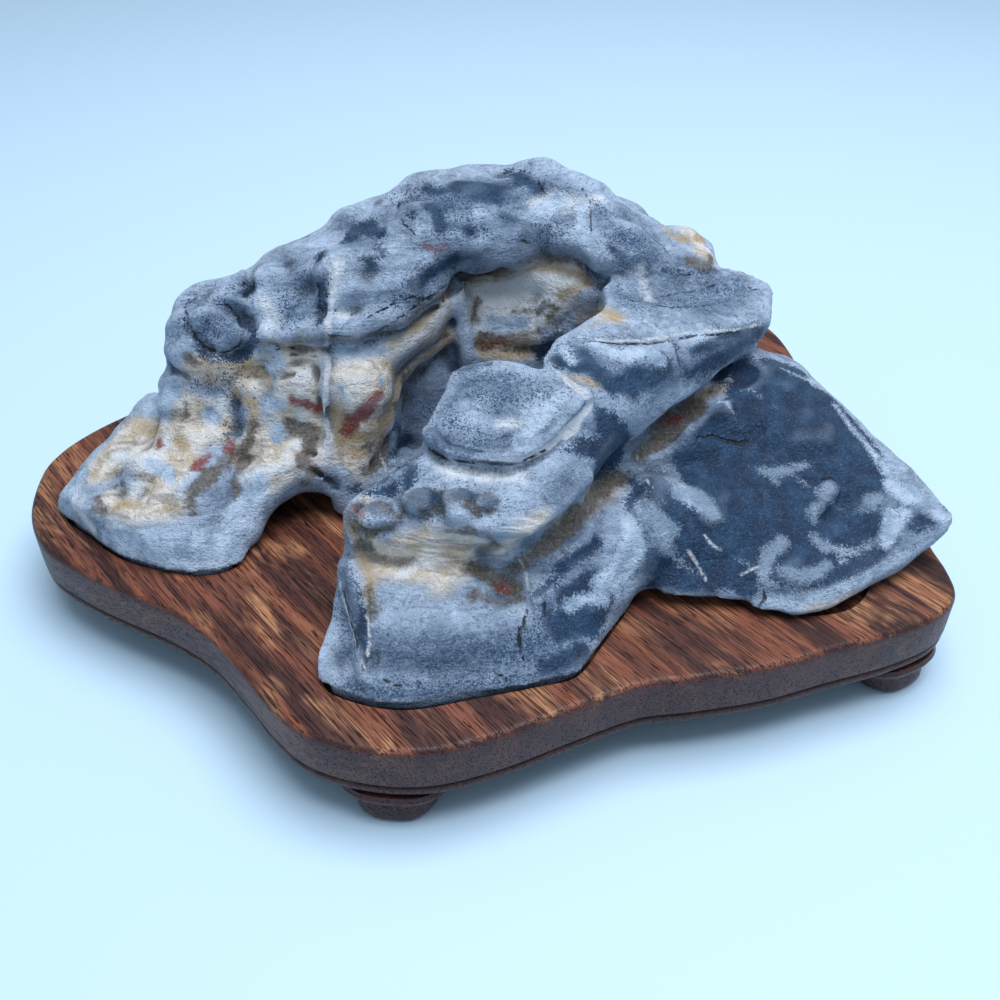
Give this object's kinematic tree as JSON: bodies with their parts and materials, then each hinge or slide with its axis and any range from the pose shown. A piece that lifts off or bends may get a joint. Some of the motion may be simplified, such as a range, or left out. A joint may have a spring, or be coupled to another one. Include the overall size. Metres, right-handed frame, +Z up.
{
  "type": "scholars rock",
  "caption": "Water-worn scholar's rock with an arched ridge, a deep hollow and a dark side wing, seated in a low carved wooden stand on bracket feet.",
  "frame": {"origin": "the ground under the middle of the stand, at the bottom centre of the bounding box", "axes": "+X along the stand's long side, from the pale left foot of the rock to its dark right wing; +Y from the front of the stand, where the rock's front limb stands, to the back; +Z up"},
  "size_m": [0.2422, 0.1998, 0.1018],
  "materials": {
    "stone": "matte",
    "wood": "satin",
    "dark_wood": "satin"
  },
  "bodies": {
    "root": {"rock": "stone", "stand_board": "wood", "stand_moulding": "dark_wood", "stand_foot_front": "dark_wood", "stand_foot_right": "dark_wood", "stand_foot_back": "dark_wood", "stand_foot_left": "dark_wood"}
  },
  "joints": []
}
